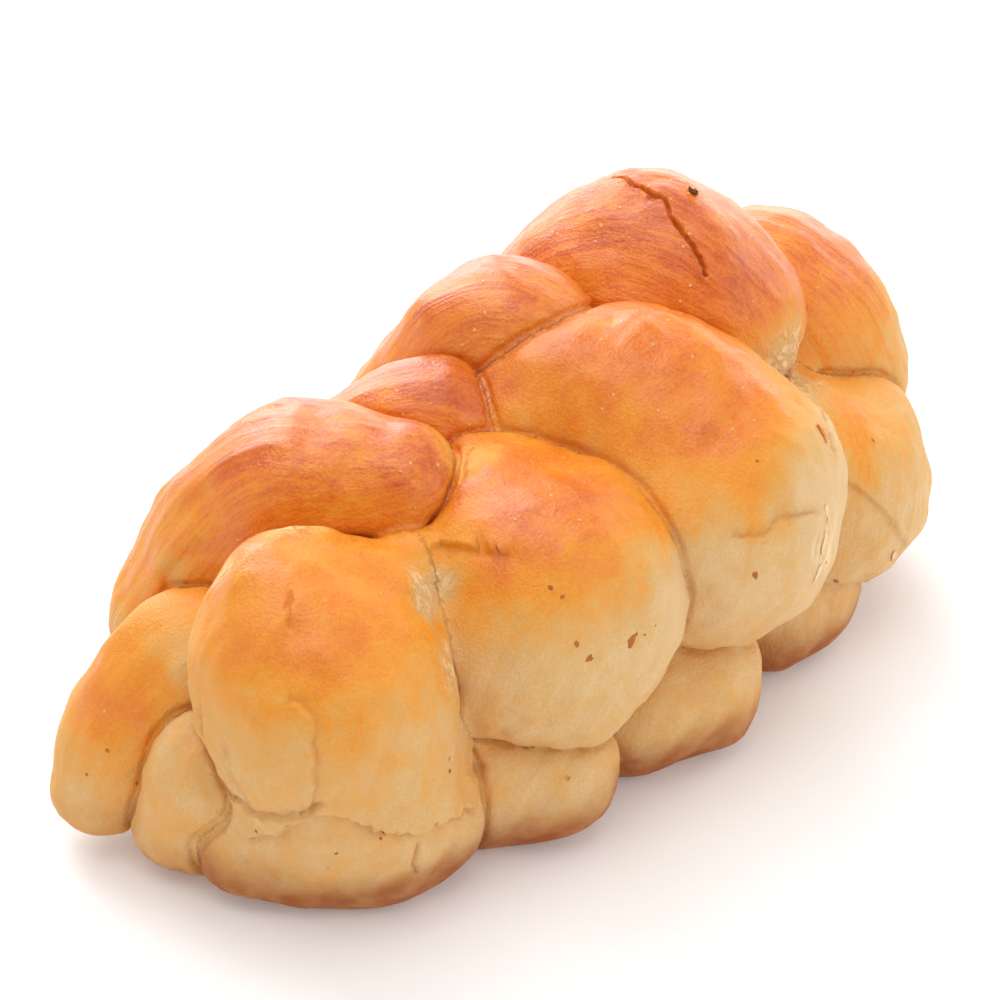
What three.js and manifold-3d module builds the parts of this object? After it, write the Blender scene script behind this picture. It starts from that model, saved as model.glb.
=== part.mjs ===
// A plaited bread loaf, baked on a tray, lying along X on its flat underside (z = 0), in mm.
// The loaf is one solid: fat lobes of dough that swelled together in the oven. Every lobe
// is a short chain of round beads with the skin pulled tight over each pair; the lobes are
// joined and cut flat underneath.
import * as THREE from 'three';
import { mergeVertices } from 'three/addons/utils/BufferGeometryUtils.js';
import Module from 'manifold-3d';

const wasm = await Module();
wasm.setup();

// ---- driving sizes ----
const STRAND = 33;          // half thickness of a full lobe on the flanks
const FLANK = 35;           // how far the middle of a flank lobe lies from the loaf's middle
const FOOT_GIRTH = 20;      // half thickness of the rolls that lie on the tray
const FOOT_LIFT = 18;       // height of the middle of those rolls, lower than round: they sag
const SIDES = 16;           // facets round a lobe
const END_STEPS = 4;        // facets from the tip of a lobe to its taper
const SAME_POINT = 0.001;   // corners closer than this are one corner
const CUT_DEPTH = 60;       // depth of the block that cuts the underside flat
const CUT_REACH = 400;

// A point on a lobe: station along the loaf, distance to the left (+) or right (-),
// height, and half thickness there.
function bead(station, side, height, girth) {
  return { station, side, height, girth };
}

// A roll at the foot of a lobe, lying on the tray between two stations.
function foot(fromStation, fromSide, toStation, toSide, trim = 0) {
  const girth = FOOT_GIRTH - trim;
  const height = FOOT_LIFT - trim;
  return [bead(fromStation, fromSide, height, girth), bead(toStation, toSide, height, girth)];
}

// Lobes of the right flank, from the slim near end (-X) to the blunt far end (+X).
// Each starts as a belly low on the flank and leans over to a thinner crown on top.
const rightLobes = [
  [bead(-75, -30, 59, STRAND), bead(-77, -22, 76, 20), bead(-60, -28, 71, 22)],
  [bead(-16, -FLANK, 58, STRAND + 4), bead(-13, -22, 68, 29), bead(-5, -6, 70, 16)],
  [bead(38, -FLANK, 62, STRAND + 5), bead(36, -22, 76, 32), bead(31, -6, 86, 21)],
  [bead(82, -24, 48, STRAND - 7), bead(93, -28, 39, STRAND - 5), bead(102, -18, 42, STRAND - 7)],
];
const rightFeet = [
  [bead(-86, -19, 17, 20), bead(-72, -29, 18, 21), bead(-60, -35, 16, 19)],
  foot(-34, -36, -24, -43),
  foot(15, -40, 27, -43, 1),
  foot(68, -31, 80, -32, 2),
];

// Lobes of the left flank; they lie further over the top than the right ones do.
const leftLobes = [
  [bead(-64, 33, 42, 25), bead(-57, 25, 62, 25), bead(-48, 14, 78, 24), bead(-39, -5, 85, 18)],
  [bead(-30, 32, 46, 25), bead(-22, 23, 66, 21), bead(-14, 10, 84, 16), bead(1, -4, 81, 15)],
  [bead(10, FLANK, 47, 31), bead(11, 24, 80, 22), bead(20, 13, 94, 22), bead(27, 0, 97, 16)],
  [bead(60, FLANK + 5, 54, STRAND), bead(62, 26, 91, 24), bead(71, 14, 93, 27),
    bead(77, -1, 89, 23), bead(80, -11, 82, 14)],
  [bead(104, 28, 52, 29), bead(110, 9, 70, 28), bead(117, 0, 52, 27)],
];
const leftFeet = [
  foot(-70, 32, -46, 38),
  foot(-8, 42, 16, 44),
  foot(44, 45, 70, 43),
  foot(98, 38, 116, 14),
  foot(116, 14, 112, -10),
];

// The ends of the strands, pinched small and turned down at the near end.
const tuckedEnds = [
  [bead(-86, 12, 46, 20), bead(-100, 17, 32, 18), bead(-107, 20, 19, 14)],
  [bead(-98, -8, 34, 16), bead(-95, 0, 16, 18)],
];

// The dough in the middle, where the strands cross: it leaves no hollow between the lobes
// and keeps the creases between neighbours shallow.
const heart = [
  [bead(-64, 4, 36, 29), bead(0, 0, 48, 46), bead(88, 2, 50, 44)],
  [bead(-58, -24, 34, 28), bead(0, -28, 40, 36), bead(82, -22, 40, 34)],
  [bead(-56, 26, 34, 26), bead(0, 28, 40, 34), bead(88, 26, 40, 33)],
  [bead(-82, 0, 14, 20), bead(0, 0, 14, 42), bead(96, 2, 14, 38)],
];

// Half the outline of two round ends and the straight taper that touches both: the outline
// runs from the tip of the first ball to the tip of the second, measured along their line.
function taperOutline(first, second, apart) {
  const lean = Math.asin((first - second) / apart);
  const outline = [];
  for (let i = 0; i <= END_STEPS; i += 1) {
    const angle = -Math.PI / 2 + (lean + Math.PI / 2) * (i / END_STEPS);
    outline.push(new THREE.Vector2(first * Math.cos(angle), first * Math.sin(angle)));
  }
  for (let i = 0; i <= END_STEPS; i += 1) {
    const angle = lean + (Math.PI / 2 - lean) * (i / END_STEPS);
    outline.push(new THREE.Vector2(second * Math.cos(angle), apart + second * Math.sin(angle)));
  }
  outline[0].x = 0;
  outline[outline.length - 1].x = 0;
  return outline;
}

// One stretch of a lobe: the skin pulled tight over two beads.
function stretchGeometry(from, to) {
  const start = new THREE.Vector3(from.station, from.side, from.height);
  const finish = new THREE.Vector3(to.station, to.side, to.height);
  const ahead = finish.clone().sub(start);
  const apart = ahead.length();
  const lathe = new THREE.LatheGeometry(taperOutline(from.girth, to.girth, apart), SIDES);
  const turn = new THREE.Quaternion()
    .setFromUnitVectors(new THREE.Vector3(0, 1, 0), ahead.normalize());
  lathe.applyQuaternion(turn);
  lathe.translate(start.x, start.y, start.z);
  return lathe;
}

// A closed surface as a solid that can be joined and cut.
function solidOf(geometry) {
  geometry.deleteAttribute('normal');
  geometry.deleteAttribute('uv');
  const merged = mergeVertices(geometry, SAME_POINT);
  const triVerts = Uint32Array.from(merged.index.array);
  const vertProperties = Float32Array.from(merged.attributes.position.array);
  return new wasm.Manifold(new wasm.Mesh({ numProp: 3, vertProperties, triVerts }));
}

// A lobe: the stretches between its beads, joined.
function lobeSolid(beads) {
  let lobe = solidOf(stretchGeometry(beads[0], beads[1]));
  for (let i = 2; i < beads.length; i += 1) {
    lobe = lobe.add(solidOf(stretchGeometry(beads[i - 1], beads[i])));
  }
  return lobe;
}

// The block under the tray line, taken away to leave the flat underside.
function underBlock() {
  const block = new THREE.BoxGeometry(CUT_REACH, CUT_REACH, CUT_DEPTH);
  block.translate(0, 0, -CUT_DEPTH / 2);
  return solidOf(block);
}

// All lobes joined into one loaf, cut flat, and set with its box centred over the origin.
function loafSolid() {
  const lobes = [
    ...heart, ...rightLobes, ...rightFeet, ...leftLobes, ...leftFeet, ...tuckedEnds,
  ];
  let loaf = lobeSolid(lobes[0]);
  for (const lobe of lobes.slice(1)) {
    loaf = loaf.add(lobeSolid(lobe));
  }
  return loaf.subtract(underBlock());
}

function geometryOf(solid) {
  const mesh = solid.getMesh();
  const geometry = new THREE.BufferGeometry();
  geometry.setAttribute('position', new THREE.Float32BufferAttribute(mesh.vertProperties, 3));
  geometry.setIndex(Array.from(mesh.triVerts));
  geometry.computeBoundingBox();
  const box = geometry.boundingBox;
  geometry.translate(-(box.min.x + box.max.x) / 2, -(box.min.y + box.max.y) / 2, 0);
  return geometry;
}

const crust = new THREE.MeshStandardMaterial({ color: 0xd9933f, roughness: 0.55, metalness: 0 });
const loafMesh = new THREE.Mesh(geometryOf(loafSolid()), crust);
loafMesh.name = 'loaf';

const group = new THREE.Group();
group.name = 'braided_loaf';
group.add(loafMesh);

export default group;
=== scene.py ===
import math

import bmesh
import bpy
import numpy as np
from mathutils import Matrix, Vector


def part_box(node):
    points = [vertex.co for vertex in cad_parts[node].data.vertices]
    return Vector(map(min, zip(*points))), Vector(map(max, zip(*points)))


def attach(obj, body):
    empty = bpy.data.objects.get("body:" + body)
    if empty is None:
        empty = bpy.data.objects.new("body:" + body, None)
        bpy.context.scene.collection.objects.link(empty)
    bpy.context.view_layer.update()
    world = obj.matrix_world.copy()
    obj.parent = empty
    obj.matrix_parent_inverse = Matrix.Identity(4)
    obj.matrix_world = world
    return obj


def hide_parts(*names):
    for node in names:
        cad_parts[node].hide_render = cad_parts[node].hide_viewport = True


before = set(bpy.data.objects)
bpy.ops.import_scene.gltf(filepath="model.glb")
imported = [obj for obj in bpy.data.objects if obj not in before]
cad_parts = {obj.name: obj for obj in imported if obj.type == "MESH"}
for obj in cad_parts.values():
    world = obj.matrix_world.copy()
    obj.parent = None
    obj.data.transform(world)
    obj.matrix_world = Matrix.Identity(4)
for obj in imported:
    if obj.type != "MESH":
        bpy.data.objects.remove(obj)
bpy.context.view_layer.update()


# ---------------------------------------------------------------------------------------
# The loaf, one piece of enriched dough. Each lobe is a stretch of hand-rolled strand, thick
# in the belly and thin where it dives under its neighbour, and the strands swelled together
# in the oven and browned where they stood highest.
# ---------------------------------------------------------------------------------------
MM = 0.001

# Each strand as beads: station along the loaf, side (left +), height, and half thickness.
# "belly" is the strand itself and "foot" the dough it settled on. "grain" is the way its
# skin was pulled where that isn't along the beads, "melt" how softly belly runs into foot,
# "pull" how streaky its skin is, and "tone" how brown it is at each height.
STRANDS = {
    "near_right": {
        "belly": [(-76, -33, 40, 28), (-79, -30, 58, 30), (-81, -19, 74, 20), (-65, -25, 69, 20)],
        "foot": [(-88, -16, 18, 20), (-74, -30, 18, 22), (-59, -37, 18, 20)],
        "grain": (0.10, -0.10, 1.0), "melt": 9, "pull": 0.25,
        "tone": [(0, 0.15), (38, 0.18), (58, 0.30), (70, 0.46), (84, 0.58), (96, 0.62)],
    },
    "middle_right": {
        "belly": [(-16, -35, 58, 37), (-14, -24, 67, 28), (-5, -6, 70, 16)],
        "foot": [(-36, -38, 18, 20), (-24, -45, 18, 20)],
        "grain": (0.35, -0.25, 1.0), "melt": 1.5, "pull": 0.35,
        "tone": [(0, 0.17), (52, 0.16), (66, 0.20), (78, 0.48), (94, 0.72), (104, 0.72)],
    },
    "far_right": {
        "belly": [(38, -35, 62, 38), (35, -22, 76, 32), (23, -8, 86, 24), (9, -4, 84, 19)],
        "foot": [(13, -42, 18, 20), (27, -45, 18, 20)],
        "grain": (0.35, -0.10, 1.0), "melt": 1.5, "pull": 0.35,
        "tone": [(0, 0.17), (60, 0.10), (73, 0.14), (80, 0.44), (96, 0.68), (110, 0.78)],
    },
    "end_right": {
        "belly": [(82, -24, 48, 26), (93, -28, 39, 28), (102, -18, 42, 26)],
        "foot": [(68, -31, 16, 18), (80, -32, 16, 18)],
        "grain": (0.5, 0.2, 1.0), "melt": 4, "pull": 0.7,
        "tone": [(0, 0.17), (44, 0.10), (56, 0.26), (68, 0.50), (80, 0.56)],
    },
    "near_left": {
        "belly": [(-64, 33, 42, 25), (-57, 25, 62, 25), (-48, 14, 78, 24), (-36, -7, 86, 16)],
        "foot": [(-70, 32, 18, 20), (-46, 38, 18, 20)],
        "melt": 8, "pull": 1.0,
        "tone": [(0, 0.18), (40, 0.32), (60, 0.56), (80, 0.72), (104, 0.84)],
    },
    "small_left": {
        "belly": [(-30, 32, 46, 25), (-22, 23, 66, 21), (-14, 9, 87, 17), (0, -3, 78, 15)],
        "foot": [(-30, 35, 18, 20), (-22, 39, 18, 20)],
        "melt": 4, "pull": 1.0,
        "tone": [(0, 0.18), (40, 0.32), (60, 0.56), (80, 0.78), (104, 0.86)],
    },
    "middle_left": {
        "belly": [(10, 35, 47, 31), (11, 24, 80, 22), (20, 13, 94, 22), (27, -1, 86, 14)],
        "foot": [(-8, 42, 18, 20), (16, 44, 18, 20)],
        "melt": 8, "pull": 1.0,
        "tone": [(0, 0.16), (40, 0.26), (60, 0.45), (80, 0.66), (100, 0.80), (120, 0.86)],
    },
    "far_left": {
        "belly": [(60, 40, 54, 33), (62, 26, 91, 24), (71, 14, 93, 27), (77, -1, 89, 23),
                  (80, -11, 82, 14)],
        "foot": [(44, 45, 18, 20), (70, 43, 18, 20)],
        "melt": 8, "pull": 1.0,
        "tone": [(0, 0.16), (40, 0.26), (60, 0.45), (80, 0.66), (100, 0.80), (120, 0.86)],
    },
    "end_left": {
        "belly": [(104, 28, 52, 29), (110, 9, 70, 28), (117, 0, 52, 27)],
        "foot": [(98, 38, 18, 20), (116, 14, 18, 20), (112, -10, 18, 20)],
        "melt": 8, "pull": 0.9,
        "tone": [(0, 0.16), (45, 0.22), (62, 0.32), (76, 0.56), (96, 0.80)],
    },
    "tucked_outer": {
        "belly": [(-86, 12, 46, 20), (-100, 17, 32, 18), (-107, 20, 19, 14)],
        "melt": 3, "pull": 0.4,
        "tone": [(0, 0.22), (22, 0.28), (38, 0.42), (54, 0.54), (66, 0.42)],
    },
    "tucked_inner": {
        "belly": [(-98, -8, 34, 16), (-95, 0, 16, 18)],
        "melt": 3, "pull": 0.4,
        "tone": [(0, 0.24), (26, 0.20), (50, 0.20)],
    },
}

# The dough in the middle, where the strands cross, fills the creases from below.
HEART = [
    [(-64, 4, 36, 26), (0, 0, 44, 36), (60, 2, 50, 36), (86, 2, 46, 34)],
    [(-58, -20, 34, 24), (0, -22, 38, 29), (82, -18, 38, 28)],
    [(-56, 22, 34, 24), (0, 24, 38, 30), (88, 22, 38, 29)],
    [(-82, 0, 14, 20), (0, 0, 14, 38), (96, 2, 14, 34)],
    [(-53, -32, 26, 15), (-53, -31, 56, 15), (-50, -25, 72, 14)],
]
HEART_MELT = 3.0       # how softly the lobes run into the middle
CREASE_MELT = 0.8      # how softly two strands run into each other
PINCH = 1.2            # how far the skin is drawn in along a crease
TRAY_MELT = 2.0        # rounding of the edge that met the tray
FIRM_FOOT = 5.0        # a belly that melts into its foot by less than this folds over it
OUT_OF_REACH = 60.0    # stands for "too far away to matter"
NEAR_A_STRAND = 14.0   # how far round a strand its distance is worked out


def smooth_line(beads, steps=7):
    """The beads of a lobe with more beads between them, on a smooth curve."""
    beads = np.array(beads, float)
    if len(beads) < 3:
        return np.array([beads[0] + (beads[1] - beads[0]) * t for t in np.linspace(0, 1, steps)])
    ends = np.vstack([2 * beads[0] - beads[1], beads, 2 * beads[-1] - beads[-2]])
    line = []
    for i in range(len(beads) - 1):
        before, start, finish, after = ends[i:i + 4]
        for t in np.arange(steps) / steps:
            line.append(0.5 * (2 * start + (finish - before) * t
                               + (2 * before - 5 * start + 4 * finish - after) * t ** 2
                               + (3 * start - before - 3 * finish + after) * t ** 3))
    line.append(beads[-1])
    return np.array(line)


def link_distance(points, start, finish):
    """How far each point lies outside the skin pulled tight over two beads."""
    along = finish[:3] - start[:3]
    length2 = along @ along
    taper = start[3] - finish[3]
    slope2 = length2 - taper * taper
    offset = points - start[:3]
    reach = offset @ along
    past = reach - length2
    across = np.maximum((offset ** 2).sum(1) * length2 - reach ** 2, 0.0)
    cone = (np.sqrt(across) * math.sqrt(slope2) + reach * taper) / length2 - start[3]
    start_bead = np.sqrt(across / length2 + reach ** 2 / length2) - start[3]
    finish_bead = np.sqrt(across / length2 + past ** 2 / length2) - finish[3]
    turn = np.sign(taper) * taper * taper * across
    skin = np.where(np.where(reach > 0, 1.0, -1.0) * slope2 * reach ** 2 < turn, start_bead, cone)
    return np.where(np.where(past > 0, 1.0, -1.0) * slope2 * past ** 2 > turn, finish_bead, skin)


def chain_distance(points, line):
    """Distance to the nearest link of one lobe, worked out only for points near it."""
    low = (line[:, :3] - line[:, 3:]).min(0) - NEAR_A_STRAND
    high = (line[:, :3] + line[:, 3:]).max(0) + NEAR_A_STRAND
    near = np.all((points > low) & (points < high), axis=1)
    distance = np.full(len(points), OUT_OF_REACH)
    close = points[near]
    best = np.full(len(close), OUT_OF_REACH)
    for start, finish in zip(line[:-1], line[1:]):
        best = np.minimum(best, link_distance(close, start, finish))
    distance[near] = best
    return distance


def melt(a, b, size):
    """Joins two skins with a soft fillet of that size."""
    share = np.maximum(size - np.abs(a - b), 0.0) / size
    return np.minimum(a, b) - share ** 2 * size * 0.25


def ripple(points, size, seed, waves=7):
    """A smooth, uneven pattern between about -1 and 1 whose swells are that many mm apart."""
    rng = np.random.default_rng(seed)
    total = np.zeros(len(points))
    for _ in range(waves):
        heading = rng.normal(size=3)
        heading *= 2 * math.pi / (size * rng.uniform(0.75, 1.5) * np.linalg.norm(heading))
        total += np.sin(points @ heading + rng.uniform(0, 2 * math.pi))
    return total / math.sqrt(waves)


def wander(points, size, amount, seed):
    """Moves points a little this way and that, so that creases don't run true."""
    drift = [ripple(points, size, seed + axis) for axis in range(3)]
    return points + amount * np.stack(drift, axis=1)


strand_lines = {name: {part: smooth_line(strand[part]) for part in ("belly", "foot") if part in strand}
                for name, strand in STRANDS.items()}
heart_lines = [smooth_line(beads) for beads in HEART]
folds_over = np.array([strand["melt"] < FIRM_FOOT for strand in STRANDS.values()])


def dough(points):
    """What lies at each point: distance outside the loaf's skin, the number of the nearest
    strand, and how much farther off the next strand is."""
    swayed = wander(points, 38.0, 1.0, 11)
    swayed = wander(swayed, 11.0, 0.22, 21)
    first = np.full(len(points), OUT_OF_REACH)
    second = np.full(len(points), OUT_OF_REACH)
    owner = np.zeros(len(points), int)
    tuck = np.full(len(points), OUT_OF_REACH)
    for index, (name, parts) in enumerate(strand_lines.items()):
        skin = chain_distance(swayed, parts["belly"])
        gap = np.full(len(points), OUT_OF_REACH)
        if "foot" in parts:
            foot = chain_distance(swayed, parts["foot"])
            gap = foot - skin
            skin = melt(skin, foot, STRANDS[name]["melt"])
        nearer = skin < first
        second = np.where(nearer, first, np.minimum(second, skin))
        owner = np.where(nearer, index, owner)
        tuck = np.where(nearer, gap, tuck)
        first = np.where(nearer, skin, first)
    heart = np.full(len(points), OUT_OF_REACH)
    for line in heart_lines:
        heart = np.minimum(heart, chain_distance(swayed, line))
    skin = melt(first, second, CREASE_MELT)
    skin = melt(skin, heart, HEART_MELT)
    # Drawn in along a crease: a tight line, a wide soft valley round it, and another line
    # where a belly folds over its foot.
    tight = np.exp(-second ** 2 / 0.9)
    wide = 0.08 * np.exp(-second ** 2 / 16.0)
    folded = np.exp(-np.where(folds_over[owner], np.abs(tuck), 9.0) ** 2 / 1.2)
    skin = skin + PINCH * (tight + wide + folded) * (np.abs(first) < 8)
    skin = -melt(-skin, points[:, 2], TRAY_MELT)
    return skin, owner, second - first


def grow_skin(step):
    """The loaf's skin as corners and four-sided faces, one corner to each cell it crosses.
    Blocks of four cells a side are looked at first, and only those near the skin are filled."""
    low = np.array([-128.0, -80.0, -6.0])
    room = np.array([280.0, 160.0, 134.0])
    coarse = step * 4
    counts = np.ceil(room / coarse).astype(int)
    cells = np.stack(np.meshgrid(*[np.arange(n) for n in counts], indexing="ij"), -1).reshape(-1, 3)
    middle = low + (cells + 0.5) * coarse
    rough = dough(middle)[0]
    busy = cells[np.abs(rough) < coarse * 1.1]
    field = np.empty(counts * 4 + 1)
    sign = np.where(rough < 0, -1.0, 1.0).reshape(counts)
    field[:-1, :-1, :-1] = sign.repeat(4, 0).repeat(4, 1).repeat(4, 2)
    field[-1] = field[:, -1] = field[:, :, -1] = 1.0
    inner = np.stack(np.meshgrid(*[np.arange(5)] * 3, indexing="ij"), -1).reshape(-1, 3)
    needed = np.zeros(field.shape, bool)
    spots = (busy[:, None] * 4 + inner).reshape(-1, 3)
    needed[spots[:, 0], spots[:, 1], spots[:, 2]] = True
    spots = np.argwhere(needed)
    for chunk in np.array_split(spots, max(1, len(spots) // 200000)):
        field[chunk[:, 0], chunk[:, 1], chunk[:, 2]] = dough(low + chunk * step)[0]
    inside = field < 0
    corner_shift = [(a, b, c) for a in (0, 1) for b in (0, 1) for c in (0, 1)]
    nx, ny, nz = np.array(field.shape) - 1
    packed = sum(inside[a:a + nx, b:b + ny, c:c + nz].astype(np.int8) for a, b, c in corner_shift)
    crossed = (packed > 0) & (packed < 8)
    number = np.full(crossed.shape, -1)
    where = np.argwhere(crossed)
    number[crossed] = np.arange(len(where))
    total = np.zeros((len(where), 3))
    hits = np.zeros(len(where))
    for axis in range(3):
        for shift in corner_shift:
            if shift[axis]:
                continue
            here = where + shift
            there = here.copy()
            there[:, axis] += 1
            a = field[here[:, 0], here[:, 1], here[:, 2]]
            b = field[there[:, 0], there[:, 1], there[:, 2]]
            hit = (a < 0) != (b < 0)
            part = np.where(hit, a / np.where(hit, a - b, 1.0), 0.0)
            spot = here.astype(float)
            spot[:, axis] += part
            total += np.where(hit[:, None], spot, 0.0)
            hits += hit
    corners = low + total / hits[:, None] * step
    faces = []
    for axis in range(3):
        u, v = [k for k in range(3) if k != axis]
        start = np.argwhere(inside != np.roll(inside, -1, axis))
        keep = start[:, axis] < np.array(field.shape)[axis] - 1
        start = start[keep & (start[:, u] > 0) & (start[:, v] > 0)]
        keep = (start[:, u] < (nx, ny, nz)[u]) & (start[:, v] < (nx, ny, nz)[v])
        start = start[keep]
        ring = []
        for du, dv in ((1, 1), (0, 1), (0, 0), (1, 0)):
            cell = start.copy()
            cell[:, u] -= du
            cell[:, v] -= dv
            ring.append(number[cell[:, 0], cell[:, 1], cell[:, 2]])
        ring = np.stack(ring, 1)
        outward = inside[start[:, 0], start[:, 1], start[:, 2]]
        if axis == 1:
            outward = ~outward
        faces.append(np.where(outward[:, None], ring, ring[:, ::-1]))
    return corners, np.concatenate(faces)


def loaf_mesh(name, corners, faces):
    mesh = bpy.data.meshes.new(name)
    mesh.from_pydata(corners.tolist(), [], faces.tolist())
    mesh.validate()
    mesh.update()
    return mesh


def read_corners(mesh):
    flat = np.empty(len(mesh.vertices) * 3)
    mesh.vertices.foreach_get("co", flat)
    return flat.reshape(-1, 3)


def read_normals(mesh):
    flat = np.empty(len(mesh.vertices) * 3)
    mesh.vertex_normals.foreach_get("vector", flat)
    return flat.reshape(-1, 3)


def write_corners(mesh, corners):
    mesh.vertices.foreach_set("co", corners.ravel())
    mesh.update()


def thin_out(piece, ratio):
    """Fewer triangles, taken mostly where the skin is plain."""
    thinner = piece.modifiers.new("thin_out", "DECIMATE")
    thinner.ratio = ratio
    mesh = bpy.data.meshes.new_from_object(piece.evaluated_get(bpy.context.evaluated_depsgraph_get()))
    piece.modifiers.clear()
    piece.data = mesh


SKIN_CELL = 1.05
corners, faces = grow_skin(SKIN_CELL)
crust = bpy.data.objects.new("crust", loaf_mesh("crust", corners, faces))
bpy.context.scene.collection.objects.link(crust)
bpy.context.view_layer.update()
MOST_TRIANGLES = 112000    # before the creases and splits are made finer
triangles = 2 * len(faces)
if triangles > MOST_TRIANGLES:
    thin_out(crust, MOST_TRIANGLES / triangles)


def lay_on_skin(corners):
    """Moves the crust's corners in or out until they lie on the dough's skin."""
    corners = corners - dough(corners)[0][:, None] * read_normals(crust.data)
    write_corners(crust.data, corners)
    return corners


corners = lay_on_skin(read_corners(crust.data))
corners = lay_on_skin(corners)

# Splits, folds and dents, each run from place to place over the skin. "lip" is how far the
# skin beside it stands up and "jag" how ragged it runs. "over" points to the side whose skin
# lies on top of the other; a split without it opens evenly.
SPLITS = {
    "crown_split": {
        "run": [(68, 26, 118), (67, 14, 121), (67, 7, 120), (65, 0, 116), (65, -7, 111),
                (64, -11, 107)],
        "width": 0.45, "depth": 2.1, "lip": 0.22, "jag": 0.6,
    },
    "brow_split": {
        "run": [(-88, -30, 90), (-90, -31, 89), (-92, -34, 87), (-93, -35, 86)],
        "width": 0.6, "depth": 0.5, "lip": 0.2, "jag": 0.5,
    },
    "belly_crease": {
        "run": [(-101, -44, 73), (-99, -47, 73), (-99, -50, 70), (-100, -51, 63), (-101, -52, 55),
                (-100, -49, 45)],
        "width": 1.0, "depth": 1.1, "lip": 0.6, "jag": 0.7, "over": (-1, 0.6, 0),
    },
    "belly_line": {
        "run": [(-84, -58, 70), (-85, -60, 64), (-86, -60, 55)],
        "width": 1.6, "depth": 0.5, "lip": 0.3, "jag": 0.7,
    },
    "hem_near": {
        "run": [(-104, -27, 37), (-105, -31, 38), (-105, -35, 38), (-103, -42, 39),
                (-101, -47, 43), (-100, -50, 46)],
        "width": 1.1, "depth": 1.8, "lip": 0.9, "jag": 1.3, "over": (0, 0, -1),
    },
    "hem_far": {
        "run": [(-103, -29, 27), (-102, -33, 29), (-102, -41, 35), (-101, -46, 41), (-99, -49, 44),
                (-96, -52, 44), (-92, -55, 42), (-88, -57, 38), (-84, -59, 35), (-79, -61, 33),
                (-73, -61, 32), (-66, -59, 30), (-55, -55, 26)],
        "width": 1.0, "depth": 1.8, "lip": 1.2, "jag": 1.3, "over": (0, 0, 1),
    },
    "hem_crack": {
        "run": [(-76, -60, 27), (-76, -58, 22), (-74, -56, 16)],
        "width": 0.6, "depth": 0.8, "lip": 0.2, "jag": 0.5,
    },
    "roll_fold": {
        "run": [(-76, 16, 76), (-78, 20, 74), (-81, 25, 69), (-83, 27, 64), (-84, 26, 56)],
        "width": 1.4, "depth": 1.2, "lip": 0.9, "jag": 0.7, "over": (0, 1, 0.4),
    },
    "flank_wrinkle": {
        "run": [(21, -68, 75), (25, -70, 74), (30, -71, 74), (34, -72, 77), (38, -73, 75),
                (43, -72, 74)],
        "width": 0.9, "depth": 1.7, "lip": 1.2, "jag": 0.8, "over": (0, 0, -1),
    },
    "flank_dent": {
        "run": [(15, -67, 67), (20, -69, 69), (25, -71, 72)],
        "width": 2.2, "depth": 0.6, "lip": 0.3, "jag": 0.5,
    },
    "pulled_slit": {
        "run": [(66, -52, 84), (63, -56, 83), (60, -60, 80)],
        "width": 0.9, "depth": 1.8, "lip": 0.4, "jag": 0.4,
    },
    "end_fold": {
        "run": [(75, -48, 60), (82, -52, 54), (88, -55, 46), (93, -56, 38), (96, -55, 32)],
        "width": 1.3, "depth": 1.0, "lip": 1.1, "jag": 0.7, "over": (0.6, 0, 0.8),
    },
    "thumb_dent": {
        "run": [(-43, -31, 84), (-41, -36, 85), (-39, -40, 85), (-37, -44, 85)],
        "width": 1.3, "depth": 1.4, "lip": 1.2, "jag": 0.15, "over": (0, 0.4, 1),
    },
    "neck_line": {
        "run": [(-20, -16, 96), (-24, -18, 96), (-27, -21, 95), (-31, -24, 94)],
        "width": 0.5, "depth": 0.5, "lip": 0.1, "jag": 0.3,
    },
    "cheek_line_top": {
        "run": [(-2, -69, 74), (-5, -71, 67), (-9, -72, 60), (-12, -71, 53)],
        "width": 1.8, "depth": 0.7, "lip": 0.4, "jag": 0.8,
    },
    "cheek_line_low": {
        "run": [(-48, -52, 33), (-47, -57, 40), (-45, -61, 46)],
        "width": 1.4, "depth": 0.6, "lip": 0.4, "jag": 0.5,
    },
    "tuck_line": {
        "run": [(-107, -19, 62), (-107, -19, 54), (-105, -20, 44)],
        "width": 1.0, "depth": 0.8, "lip": 0.5, "jag": 0.9,
    },
    "back_split": {
        "run": [(2, 60, 70), (4, 64, 62), (3, 67, 52), (5, 67, 44)],
        "width": 0.8, "depth": 1.4, "lip": 0.4, "jag": 0.9,
    },
    "back_hem": {
        "run": [(40, 62, 32), (50, 68, 30), (60, 71, 33), (70, 70, 31), (78, 65, 33)],
        "width": 1.0, "depth": 1.2, "lip": 0.8, "jag": 1.1, "over": (0, 0, 1),
    },
    "belly_fold": {
        "run": [(-108, -29, 57), (-107, -30, 49), (-105, -33, 41)],
        "width": 1.3, "depth": 0.7, "lip": 0.5, "jag": 0.6,
    },
}


def smooth_run(run):
    """Fills a run in with places about 3 mm apart."""
    run = np.array(run, float)
    length = np.concatenate([[0], np.cumsum(np.linalg.norm(np.diff(run, axis=0), axis=1))])
    share = np.linspace(0, length[-1], max(3, int(length[-1] / 3) + 1))
    return np.stack([np.interp(share, length, run[:, i]) for i in range(3)], 1)


def run_distance(points, run, over=None):
    """Distance to a run over the skin; negative on the side that lies underneath."""
    run = np.array(run, float)
    best = np.full(len(points), OUT_OF_REACH)
    side = np.ones(len(points))
    for start, finish in zip(run[:-1], run[1:]):
        along = finish - start
        share = np.clip((points - start) @ along / (along @ along), 0, 1)
        offset = points - start - share[:, None] * along
        distance = np.linalg.norm(offset, axis=1)
        nearer = distance < best
        best = np.where(nearer, distance, best)
        if over is not None:
            side = np.where(nearer, np.where(offset @ np.array(over) > 0, 1.0, -1.0), side)
    return best * side


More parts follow.
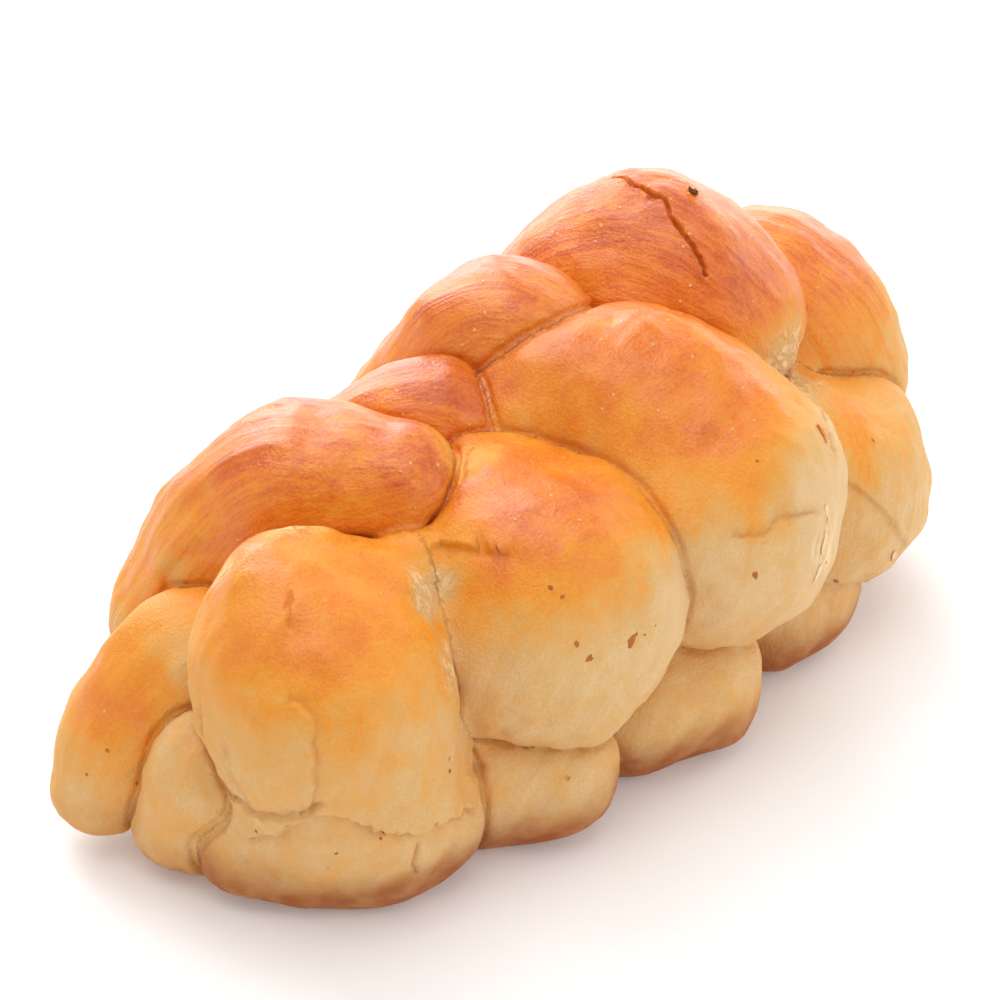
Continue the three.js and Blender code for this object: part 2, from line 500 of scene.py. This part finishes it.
def settle(points):
    """Moves places straight up or down the dough field until they lie on the skin."""
    points = np.array(points, float)
    for _ in range(6):
        skin = dough(points)[0]
        slope = np.stack([dough(points + step)[0] - dough(points - step)[0]
                          for step in np.eye(3) * 0.5], 1)
        points = points - slope * (skin / np.maximum((slope ** 2).sum(1), 0.2))[:, None]
    return points


for split in SPLITS.values():
    split["run"] = settle(smooth_run(split["run"]))


def split_relief(points, normals, split, seed):
    """How far the skin rises (+) or sinks (-) beside one split or fold."""
    jagged = wander(points, 6.0, 0.55 * split["jag"], seed)
    jagged = wander(jagged, 2.4, 0.22 * split["jag"], seed + 5) - points
    jagged = points + jagged - normals * (jagged * normals).sum(1)[:, None]
    gap = run_distance(jagged, split["run"], split.get("over"))
    width = split["width"]
    if "over" in split:
        under = -split["depth"] * np.exp(-np.maximum(-gap, 0) / (1.6 * width))
        lying = split["lip"] * np.exp(-np.maximum(gap, 0) / (3.5 * width))
        share = 1 / (1 + np.exp(-np.clip(gap / (0.22 * width), -30, 30)))
        faded = np.exp(-(gap / (7 * width)) ** 2)
        return (lying * share + under * (1 - share)) * faded
    valley = -split["depth"] * np.exp(-(gap / width) ** 2)
    return valley + split["lip"] * np.exp(-((gap - 2.2 * width) / (1.3 * width)) ** 2)


def split_up(mesh, chosen):
    """Cuts in half every edge that joins two chosen corners, for finer skin there."""
    work = bmesh.new()
    work.from_mesh(mesh)
    work.verts.ensure_lookup_table()
    edges = [edge for edge in work.edges
             if chosen[edge.verts[0].index] and chosen[edge.verts[1].index]]
    bmesh.ops.subdivide_edges(work, edges=edges, cuts=1)
    bmesh.ops.triangulate(work, faces=[face for face in work.faces if len(face.verts) > 3])
    work.to_mesh(mesh)
    work.free()
    mesh.update()


# The skin is made finer once along the creases, and twice along the narrow splits.
NARROW = 1.4
for reach in (((3.0, 1.7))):
    corners = read_corners(crust.data)
    close = np.zeros(len(corners), bool)
    for split in SPLITS.values():
        if split["width"] < NARROW:
            close |= np.abs(run_distance(corners, split["run"])) < reach
    if reach > 2:
        close |= (dough(corners)[2] < 1.5) & (corners[:, 2] > 1.0)
    split_up(crust.data, close)
    corners = lay_on_skin(read_corners(crust.data))


def transport(line):
    """For each bead on a line: length so far, and two directions square to the line."""
    ahead = np.gradient(line[:, :3], axis=0)
    ahead /= np.linalg.norm(ahead, axis=1)[:, None]
    length = np.concatenate([[0], np.cumsum(np.linalg.norm(np.diff(line[:, :3], axis=0), axis=1))])
    first = np.cross(ahead[0], (0.3, -0.2, 0.9))
    square = []
    for direction in ahead:
        first = first - direction * (first @ direction)
        first = first / np.linalg.norm(first)
        square.append((first, np.cross(direction, first)))
    return length, np.array(square)


GRAIN_STRETCH = 9.0    # the skin's fine streaks are this many times longer than they are wide
APART = 90             # keeps the streaks of one strand from lining up with the next one's


def grain_place(points, owner):
    """Places in the pulled skin: close together along the strand, full size across it."""
    place = np.zeros_like(points)
    for index, (name, strand) in enumerate(STRANDS.items()):
        mine = owner == index
        own = points[mine]
        if "grain" in strand:
            pull = np.array(strand["grain"]) / np.linalg.norm(strand["grain"])
            place[mine] = own - (own @ pull)[:, None] * pull * (1 - 1 / GRAIN_STRETCH) + APART * index
            continue
        line = strand_lines[name]["belly"]
        length, square = transport(line)
        best = np.full(len(own), 1e9)
        found = np.zeros_like(own)
        for i in range(len(line) - 1):
            along = line[i + 1, :3] - line[i, :3]
            share = np.clip((own - line[i, :3]) @ along / (along @ along), 0, 1)
            offset = own - line[i, :3] - share[:, None] * along
            distance = np.linalg.norm(offset, axis=1) - line[i, 3] - share * (line[i + 1, 3] - line[i, 3])
            first = square[i, 0] + share[:, None] * (square[i + 1, 0] - square[i, 0])
            second = square[i, 1] + share[:, None] * (square[i + 1, 1] - square[i, 1])
            spot = np.stack([(length[i] + share * (length[i + 1] - length[i])) / GRAIN_STRETCH,
                             (offset * first).sum(1), (offset * second).sum(1)], 1)
            nearer = distance < best
            best = np.where(nearer, distance, best)
            found = np.where(nearer[:, None], spot, found)
        place[mine] = found + APART * index
    return place


# The relief of the skin: soft swells, ridges along the grain, then the splits and folds.
_, owner, crease_gap = dough(corners)
normals = read_normals(crust.data)
grain = grain_place(corners, owner)
height = corners[:, 2]
above_tray = np.clip(height / 6.0, 0, 1)    # the flat underside stays flat
# Each ripple below has its height, then how far apart its swells are, and a seed.
relief = 0.30 * ripple(corners, 17.0, 61) + 0.10 * ripple(corners, 7.0, 71)
relief += 0.16 * ripple(grain, 7.0, 86) + 0.10 * ripple(grain, 3.4, 81)
relief += 0.07 * ripple(grain, 1.9, 91)
split_dough_and_shade = np.zeros(len(corners))
for index, split in enumerate(SPLITS.values()):
    change = split_relief(corners, normals, split, 100 + 10 * index)
    relief += change
    # Only a deep or a narrow split is coloured inside: the browned dough there and painted shade, darkest
    # at the bottom of the split and under a folded flap.
    weight = 1.0 if split["depth"] > 2.0 else 0.8 if split["width"] < 1.2 else 0.0
    split_dough_and_shade = np.maximum(split_dough_and_shade, weight * np.clip(-change / split["depth"], 0, 1) ** 2)
corners = corners + normals * (relief * above_tray)[:, None]
corners[:, 2] = np.maximum(corners[:, 2], 0.0)

# How brown the oven left each patch of skin: by height on each strand, then a few places that came out
# paler (-) or browner (+) than the rest of their strand. Two of the pale places, at (-3, -18, 93) and
# (-100, -4, 62), are painted highlights: sheen painted in as paler skin.
PATCHES = [
    ((62, -66, 78), 22, -0.42), ((-4, -72, 70), 20, -0.12), ((82, -24, 80), 13, -0.36),
    ((80, -46, 76), 10, -0.20), ((-24, -19, 97), 8, -0.44), ((-42, -30, 86), 9, -0.06),
    ((-3, -18, 93), 8, -0.14), ((-52, -40, 80), 7, -0.40), ((-100, -4, 62), 10, -0.26),
    ((-88, -10, 84), 5, -0.30), ((-76, -11, 91), 4, -0.30), ((-64, -13, 91), 4, -0.30),
    ((-82, 24, 67), 4, -0.25), ((-110, 12, 50), 14, 0.14), ((-86, -42, 84), 11, 0.12),
    ((-21, -48, 96), 14, 0.12), ((-38, -18, 93), 10, 0.16), ((60, 0, 112), 13, 0.10),
    ((78, -14, 104), 12, 0.14), ((-40, -46, 83), 6, 0.16), ((20, -50, 90), 12, 0.10),
    ((-70, 10, 88), 14, 0.08), ((-6, 4, 100), 12, 0.12), ((118, -6, 84), 12, 0.10),
    ((28, -30, 104), 12, 0.04),
]
# Where neighbouring strands pulled apart in the oven and left ragged, stretched skin.
STRETCHED = [
    ((-53, -40, 82), 7), ((-58, -52, 66), 6), ((-88, 2, 76), 7), ((82, -24, 80), 11),
    ((46, -68, 62), 8), ((-88, -10, 84), 6), ((-72, -11, 91), 6), ((-34, 44, 60), 8),
    ((34, 50, 78), 8), ((88, 44, 66), 8),
]
bake_and_sheen = np.zeros(len(corners))
pull = np.zeros(len(corners))
stretched = np.zeros(len(corners))
for index, strand in enumerate(STRANDS.values()):
    mine = owner == index
    heights, tones = zip(*strand["tone"])
    uneven = height[mine] + 4.0 * ripple(corners[mine], 26.0, 31) + 1.6 * ripple(corners[mine], 8.0, 41)
    bake_and_sheen[mine] = np.interp(uneven, heights, tones)
    pull[mine] = strand["pull"]
bake_and_sheen += 0.16 * (np.clip(normals[:, 2], 0, 1) - 0.6) * np.clip((height - 40) / 30, 0, 1)
swayed = wander(corners, 9.0, 1.4, 51)
# Among these patches are the two painted highlights, which lighten the skin like a sheen.
for middle, reach, amount in PATCHES:
    away = np.linalg.norm(swayed - np.array(middle), axis=1) / reach
    bake_and_sheen += amount / (1 + np.exp(np.clip((away - 1) * 7, -30, 30)))
for middle, reach in STRETCHED:
    away = np.linalg.norm(swayed - np.array(middle), axis=1) / reach
    stretched = np.maximum(stretched, np.exp(-away ** 4))
CREASE_REACH = 2.6    # how far from a crease the skin stays tender
RIM_HEIGHT = 24       # how far up from the tray the skin is browned by it
crease = np.exp(-np.maximum(np.minimum(crease_gap, 30.0), 0.0) / CREASE_REACH)
rim = np.clip(1 - (height + 1.5 * ripple(corners, 14.0, 45)) / RIM_HEIGHT, 0, 1)
tucked = np.array([name.startswith("tucked") for name in STRANDS])
rim = np.where(tucked[owner], 0.45 * rim, rim)    # the tucked ends hardly touched the tray

skin_readings = {"bake_and_sheen": bake_and_sheen, "crease": crease, "rim": rim, "split_dough_and_shade": split_dough_and_shade, "pull": pull,
                 "stretched": stretched}
for attribute, values in skin_readings.items():
    layer = crust.data.attributes.new(attribute, "FLOAT", "POINT")
    layer.data.foreach_set("value", values.astype(np.float32))
layer = crust.data.attributes.new("grain", "FLOAT_VECTOR", "POINT")
layer.data.foreach_set("vector", (grain * MM).astype(np.float32).ravel())

# The loaf is set in the middle of its node's box, on its underside.
node_low, node_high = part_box("loaf")
shift = [(a + b) / 2 - (c + d) / 2 * MM for a, b, c, d in
         zip(node_low, node_high, corners.min(0), corners.max(0))]
shift[2] = node_low[2]
corners = corners * MM + np.array(shift)
write_corners(crust.data, corners)
crust.data.polygons.foreach_set("use_smooth", np.ones(len(crust.data.polygons), bool))


def srgb(red, green, blue):
    """A colour given as 0 to 255 steps, as light."""
    def light(step):
        part = step / 255
        return part / 12.92 if part <= 0.04045 else ((part + 0.055) / 1.055) ** 2.4
    return (light(red), light(green), light(blue), 1.0)


class Finish:
    """A material and its nodes, made in the order that they are joined."""

    def __init__(self, name):
        self.material = bpy.data.materials.new(name)
        self.material.use_nodes = True
        self.tree = self.material.node_tree
        self.shader = self.tree.nodes["Principled BSDF"]

    def node(self, kind, settings=None, **inputs):
        made = self.tree.nodes.new(kind)
        for key, value in (settings or {}).items():
            setattr(made, key, value)
        for key, value in inputs.items():
            self.feed(made.inputs[key.replace("_", " ")], value)
        return made

    def feed(self, socket, value):
        if isinstance(value, bpy.types.NodeSocket):
            self.tree.links.new(value, socket)
        else:
            socket.default_value = value

    def reading(self, attribute, output="Fac"):
        return self.node("ShaderNodeAttribute", {"attribute_name": attribute}).outputs[output]

    def combine(self, operation, a, b, clamp=False):
        made = self.node("ShaderNodeMath", {"operation": operation, "use_clamp": clamp})
        self.feed(made.inputs[0], a)
        self.feed(made.inputs[1], b)
        return made.outputs[0]

    def between(self, value, low, high, to_low=0.0, to_high=1.0, kind="SMOOTHSTEP"):
        made = self.node("ShaderNodeMapRange", {"interpolation_type": kind},
                         Value=value, From_Min=low, From_Max=high, To_Min=to_low, To_Max=to_high)
        return made.outputs["Result"]

    def blend(self, share, under, over):
        made = self.node("ShaderNodeMix", {"data_type": "RGBA"})
        self.feed(made.inputs["Factor"], share)
        self.feed(made.inputs[6], under)
        self.feed(made.inputs[7], over)
        return made.outputs[2]

    def noise(self, place, scale, detail=3.0, roughness=0.55):
        made = self.node("ShaderNodeTexNoise", Vector=place, Scale=scale, Detail=detail,
                         Roughness=roughness)
        return made.outputs["Fac"]

    def ramp(self, value, stops):
        made = self.node("ShaderNodeValToRGB", Fac=value)
        elements = made.color_ramp.elements
        while len(elements) < len(stops):
            elements.new(0.5)
        for element, (position, colour) in zip(elements, stops):
            element.position = position
            element.color = colour
        return made.outputs["Color"]


# The crust's finish: browning by the bake reading, which also carries two patches of painted highlight,
# broken up by mottles, clouds, freckles and the fine streaks that run along the pulled skin.
finish = Finish("baked_crust")
place = finish.node("ShaderNodeTexCoord").outputs["Object"]
pulled = finish.reading("grain", "Vector")
fibrous = finish.reading("pull")
mottle = finish.noise(place, 120.0)
cloud = finish.noise(place, 42.0, detail=2.0)
freckle = finish.noise(place, 1300.0, detail=2.0)
streak = finish.noise(pulled, 560.0, detail=5.0, roughness=0.62)
fibre = finish.combine("MULTIPLY", finish.between(streak, 0.3, 0.7, -0.13, 0.13), fibrous)
browning_and_sheen = finish.reading("bake_and_sheen")
browning_and_sheen = finish.combine("ADD", browning_and_sheen, finish.between(mottle, 0.3, 0.7, -0.08, 0.08))
browning_and_sheen = finish.combine("ADD", browning_and_sheen, finish.between(cloud, 0.35, 0.65, -0.05, 0.05))
browning_and_sheen = finish.combine("ADD", browning_and_sheen, finish.between(freckle, 0.3, 0.7, -0.07, 0.07))
browning_and_sheen = finish.combine("ADD", browning_and_sheen, fibre)
# From the pale flanks through gold and orange to the brown crowns.
colour = finish.ramp(finish.between(browning_and_sheen, 0.0, 1.2, kind="LINEAR"), [
    (0.0, srgb(226, 187, 132)),
    (0.15, srgb(224, 175, 108)),
    (0.30, srgb(230, 164, 76)),
    (0.458, srgb(237, 149, 32)),
    (0.667, srgb(232, 125, 22)),
    (0.833, srgb(215, 99, 14)),
    (1.0, srgb(190, 76, 12)),
])
tender = finish.combine("MULTIPLY", finish.reading("crease"), 0.22)
colour = finish.blend(tender, colour, srgb(232, 170, 96))
ragged = finish.combine("MULTIPLY", finish.reading("stretched"), finish.between(streak, 0.42, 0.58))
colour = finish.blend(finish.combine("MULTIPLY", ragged, 0.75), colour, srgb(254, 220, 170))
tray_brown = finish.combine("MULTIPLY", finish.between(finish.reading("rim"), 0.02, 0.66),
                        finish.between(mottle, 0.25, 0.7, 0.68, 1.0))
colour = finish.blend(tray_brown, colour, srgb(164, 82, 4))
# Painted shade with the browned dough: the insides of splits and the undersides of folds are coloured
# dark brown, darkest where they sink deepest.
colour = finish.blend(finish.combine("MULTIPLY", finish.reading("split_dough_and_shade"), 0.7), colour,
                      srgb(196, 104, 30))

# Tiny blisters stand up light on the browned tops, one in a few of the cells.
cells = finish.node("ShaderNodeTexVoronoi", {"feature": "F1"}, Scale=330.0, Vector=place)
dot = finish.between(cells.outputs["Distance"], 0.10, 0.20, 1.0, 0.0)
lot = finish.node("ShaderNodeSeparateColor")
finish.feed(lot.inputs["Color"], cells.outputs["Color"])
chosen = finish.between(lot.outputs["Red"], 0.80, 0.84)
chosen = finish.combine("MULTIPLY", chosen, finish.between(browning_and_sheen, 0.5, 0.8))
blister = finish.combine("MULTIPLY", dot, chosen)
colour = finish.blend(finish.combine("MULTIPLY", blister, 0.6), colour, srgb(250, 196, 130))
finish.feed(finish.shader.inputs["Base Color"], colour)
shine = finish.combine("ADD", browning_and_sheen, finish.between(freckle, 0.3, 0.7, -0.18, 0.18))
finish.feed(finish.shader.inputs["Roughness"], finish.between(shine, 0.25, 0.85, 0.68, 0.30))
finish.feed(finish.shader.inputs["Specular IOR Level"], 0.5)
finish.feed(finish.shader.inputs["Coat Weight"], finish.between(browning_and_sheen, 0.5, 0.85, 0.0, 0.3))
finish.feed(finish.shader.inputs["Coat Roughness"], 0.24)
fine = finish.combine("MULTIPLY", streak, finish.combine("ADD", fibrous, 0.2))
fine = finish.combine("ADD", fine, finish.combine("MULTIPLY", freckle, 0.6))
fine = finish.combine("ADD", fine, finish.combine("MULTIPLY", ragged, 0.6))
fine = finish.combine("ADD", fine, finish.combine("MULTIPLY", blister, 0.5))
bump = finish.node("ShaderNodeBump", Strength=0.7, Distance=0.0007, Height=fine)
finish.feed(finish.shader.inputs["Normal"], bump.outputs["Normal"])
crust.data.materials.append(finish.material)

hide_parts("loaf")
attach(crust, "root")


# ---------------------------------------------------------------------------------------
# Burnt specks: crumbs of crust and scorched flour, flat and lumpy, that stuck to the skin
# while it baked. They sit half sunk in the crust.
# ---------------------------------------------------------------------------------------
# Each speck's place and its width.
SPECKS = [
    ((-105, -33, 31), 0.8), ((-85, -58, 36), 1.3), ((-86, -58, 34), 0.7), ((-94, -52, 30), 0.9),
    ((-65, -58, 47), 0.8), ((-65, -58, 43), 1.1), ((-116, 8, 38), 0.8), ((-119, 13, 29), 0.7),
    ((-110, 4, 27), 0.9), ((-17, -70, 65), 2.3), ((-15, -70, 66), 1.0), ((-31, -67, 68), 1.3),
    ((-29, -68, 65), 1.6), ((-34, -59, 81), 1.0), ((-32, -61, 80), 0.9), ((-10, -70, 66), 0.5),
    ((-13, -71, 64), 0.6), ((23, -72, 65), 1.4), ((90, -47, 64), 0.8), ((77, -49, 27), 1.1),
    ((48, -72, 58), 0.8), ((34, -60, 88), 0.7), ((-30, 52, 62), 0.9), ((24, 64, 58), 1.2),
    ((26, 65, 54), 0.7), ((72, 66, 60), 1.4), ((126, 26, 60), 0.9), ((50, 64, 22), 0.8),
]

skin_places = read_corners(crust.data)
skin_normals = read_normals(crust.data)


def on_the_crust(place):
    """The nearest spot on the finished skin, and which way the skin faces there."""
    spot = np.array(place) * MM + np.array(shift)
    nearest = np.argmin(((skin_places - spot) ** 2).sum(1))
    return skin_places[nearest], skin_normals[nearest]


chance = np.random.default_rng(7)
bits = bmesh.new()
for place, width in SPECKS:
    spot, outward = on_the_crust(place)
    made = bmesh.ops.create_icosphere(bits, subdivisions=2, radius=width / 2 * MM)["verts"]
    sideways = np.cross(outward, chance.normal(size=3))
    sideways /= np.linalg.norm(sideways)
    for corner in made:
        rough = np.array(corner.co) * (1 + 0.22 * chance.normal())
        rough -= outward * (rough @ outward) * 0.6
        rough += sideways * (rough @ sideways) * 0.5
        corner.co = Vector(spot + rough - outward * width * 0.02 * MM)
speck_mesh = bpy.data.meshes.new("specks")
bits.to_mesh(speck_mesh)
bits.free()
specks = bpy.data.objects.new("specks", speck_mesh)
bpy.context.scene.collection.objects.link(specks)
scorched = Finish("scorched_flour")
scorch_noise = scorched.noise(scorched.node("ShaderNodeTexCoord").outputs["Object"], 700.0)
scorched.feed(scorched.shader.inputs["Base Color"],
              scorched.blend(scorch_noise, srgb(206, 116, 28), srgb(142, 78, 18)))
scorched.feed(scorched.shader.inputs["Roughness"], 0.6)
specks.data.materials.append(scorched.material)
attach(specks, "root")


# ---------------------------------------------------------------------------------------
# Flakes: thin shreds of skin left standing where the neighbouring strand pulled away, and
# one flake of dried herb on the crown. Each is a thin curled scrap with ragged sides that
# lies on the crust and is stuck down along its middle.
# ---------------------------------------------------------------------------------------
def scrap(name, run, width, curl, thickness, seed):
    """A thin scrap laid along a run over the skin, its edges lifted by the curl."""
    chance = np.random.default_rng(seed)
    line = smooth_run(run)
    steps = 18    # corners along the scrap
    share = np.linspace(0, 1, steps)
    track = np.stack([np.interp(share, np.linspace(0, 1, len(line)), line[:, i]) for i in range(3)], 1)
    across = np.linspace(-1, 1, 7)
    left = np.interp(share, np.linspace(0, 1, 9), 0.4 + 0.6 * chance.random(9))
    right = np.interp(share, np.linspace(0, 1, 9), 0.4 + 0.6 * chance.random(9))
    ends = np.sqrt(np.clip(1 - np.abs(2 * share - 1) ** 3, 0.02, 1))
    outer, inner = [], []
    spots = [on_the_crust(place) for place in track]
    for i in range(steps):
        near = spots[max(0, i - 3):i + 4]
        spot = np.mean([place for place, facing in near], axis=0)
        outward = np.mean([facing for place, facing in near], axis=0)
        ahead = (track[min(i + 1, steps - 1)] - track[max(i - 1, 0)])
        sideways = np.cross(outward, ahead)
        sideways /= np.linalg.norm(sideways)
        for place in across:
            reach = (right[i] if place > 0 else left[i]) * ends[i] * width / 2
            lift = 0.06 + curl * abs(place) ** 2 + 0.03 * chance.normal()
            middle = spot + (sideways * place * reach + outward * lift) * MM
            outer.append(middle + outward * thickness / 2 * MM)
            inner.append(middle - outward * thickness / 2 * MM)
    wide = len(across)
    faces = []
    for i in range(steps - 1):
        for j in range(wide - 1):
            a = i * wide + j
            faces.append((a, a + 1, a + wide + 1, a + wide))
    count = len(outer)
    under = [tuple(corner + count for corner in face[::-1]) for face in faces]
    border = [i * wide for i in range(steps)] + [(steps - 1) * wide + j for j in range(1, wide)]
    border += [i * wide + wide - 1 for i in range(steps - 2, -1, -1)] + list(range(wide - 2, 0, -1))
    rim_faces = [(border[i], border[(i + 1) % len(border)], border[(i + 1) % len(border)] + count,
                  border[i] + count) for i in range(len(border))]
    mesh = bpy.data.meshes.new(name)
    mesh.from_pydata([tuple(corner) for corner in outer + inner], [], faces + under + rim_faces)
    mesh.validate()
    mesh.update()
    work = bmesh.new()
    work.from_mesh(mesh)
    bmesh.ops.recalc_face_normals(work, faces=work.faces)
    work.to_mesh(mesh)
    work.free()
    piece = bpy.data.objects.new(name, mesh)
    bpy.context.scene.collection.objects.link(piece)
    return piece


# Each pale flake's name, run, width and curl.
FLAKES = [
    ("pale_flake_1", [(47, -71, 68), (46, -72, 65), (45, -73, 61)], 2.4, 0.12),
    ("pale_flake_2", [(45, -73, 60), (44, -73, 57), (43, -73, 53)], 2.0, 0.1),
    ("pale_flake_3", [(49, -69, 73), (48, -70, 71), (47, -71, 69)], 1.6, 0.1),
    ("pale_flake_4", [(92, -56, 33), (93, -56, 30), (94, -55, 27)], 2.4, 0.4),
    ("pale_flake_5", [(34, 52, 76), (36, 54, 72), (36, 56, 69)], 2.6, 0.2),
]
pale_skin = Finish("torn_skin")
pale_grain = pale_skin.noise(pale_skin.node("ShaderNodeTexCoord").outputs["Object"], 600.0)
pale_skin.feed(pale_skin.shader.inputs["Base Color"],
               pale_skin.blend(pale_grain, srgb(244, 214, 176), srgb(236, 198, 148)))
pale_skin.feed(pale_skin.shader.inputs["Roughness"], 0.6)
for number, (name, run, width, curl) in enumerate(FLAKES):
    flake = scrap(name, run, width, curl, 0.16, 300 + number)
    flake.data.materials.append(pale_skin.material)
    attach(flake, "root")

browned_flake = scrap("browned_flake", [(59, -57, 88), (58, -58, 86), (57, -60, 82)], 1.8, 0.3, 0.2, 330)
browned_skin = Finish("browned_flake_skin")
browned_skin.feed(browned_skin.shader.inputs["Base Color"], srgb(232, 138, 52))
browned_skin.feed(browned_skin.shader.inputs["Roughness"], 0.55)
browned_flake.data.materials.append(browned_skin.material)
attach(browned_flake, "root")

herb = scrap("herb_flake", [(75, 7, 120), (76, 6, 120), (78, 6, 119)], 1.9, 0.6, 0.3, 340)
dried_leaf = Finish("dried_leaf")
leaf_noise = dried_leaf.noise(dried_leaf.node("ShaderNodeTexCoord").outputs["Object"], 900.0)
dried_leaf.feed(dried_leaf.shader.inputs["Base Color"],
                dried_leaf.blend(leaf_noise, srgb(128, 84, 28), srgb(74, 44, 16)))
dried_leaf.feed(dried_leaf.shader.inputs["Roughness"], 0.6)
herb.data.materials.append(dried_leaf.material)
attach(herb, "root")


# ---------------------------------------------------------------------------------------
# The tabletop: a plain pale board of matt laminate, well wider than the loaf, which stands
# on it. It isn't part of the object.
# ---------------------------------------------------------------------------------------
bpy.ops.mesh.primitive_plane_add(size=8.0, location=(0, 0, 0))
tabletop = bpy.context.object
tabletop.name = "tabletop"
pale = Finish("pale_top")
pale.feed(pale.shader.inputs["Base Color"], (0.9, 0.9, 0.9, 1.0))
pale.feed(pale.shader.inputs["Roughness"], 0.9)
pale.feed(pale.shader.inputs["Emission Color"], (1.0, 1.0, 1.0, 1.0))
pale.feed(pale.shader.inputs["Emission Strength"], 0.12)
tabletop.data.materials.append(pale.material)


# ---------------------------------------------------------------------------------------
# Studio light: seven soft panels round the loaf, the brightest behind it and overhead and
# the weakest at the left, in a pale room.
# ---------------------------------------------------------------------------------------
def panel(name, place, size, watts):
    """A soft square panel that faces the loaf."""
    light = bpy.data.lights.new(name, "AREA")
    light.size = size
    light.energy = watts
    lamp = bpy.data.objects.new(name, light)
    lamp.location = place
    lamp.rotation_euler = (Vector((0, 0, 0.05)) - Vector(place)).to_track_quat("-Z", "Y").to_euler()
    bpy.context.scene.collection.objects.link(lamp)


panel("low_back_panel", (0.5, 1.35, 0.50), 0.8, 9.0)
panel("far_right_panel", (1.25, 0.8, 0.38), 0.8, 5.0)
panel("high_back_panel", (0.18, 0.85, 1.22), 0.9, 9.0)
panel("top_panel", (-0.2, -0.1, 1.5), 1.3, 9.0)
panel("right_panel", (1.4, -0.1, 0.55), 1.0, 4.5)
panel("front_panel", (0.4, -1.35, 0.7), 1.1, 5.2)
panel("left_panel", (-1.3, 0.4, 0.8), 1.1, 2.0)

room = bpy.data.worlds.new("pale_room")
room.use_nodes = True
room.node_tree.nodes["Background"].inputs["Color"].default_value = (1.0, 1.0, 1.0, 1.0)
room.node_tree.nodes["Background"].inputs["Strength"].default_value = 0.46
bpy.context.scene.world = room
bpy.context.scene.view_settings.view_transform = "Standard"


# ---------------------------------------------------------------------------------------
# The camera: a long lens on a stand, which looks down on the near right corner of the loaf
# from a little under a metre away.
# ---------------------------------------------------------------------------------------
turn = math.radians(-42)
rise = math.radians(34)
stand = Vector((-0.0113, 0.0, 0.050))
away = Vector((math.sin(turn) * math.cos(rise), -math.cos(turn) * math.cos(rise), math.sin(rise)))
lens = bpy.data.cameras.new("camera")
lens.lens = 135
lens.sensor_width = 36
camera = bpy.data.objects.new("camera", lens)
camera.location = stand + away * 0.95
aim = Vector((-0.0056, 0.0025, 0.0584))
camera.rotation_euler = (aim - camera.location).to_track_quat("-Z", "Y").to_euler()
bpy.context.scene.collection.objects.link(camera)
bpy.context.scene.camera = camera
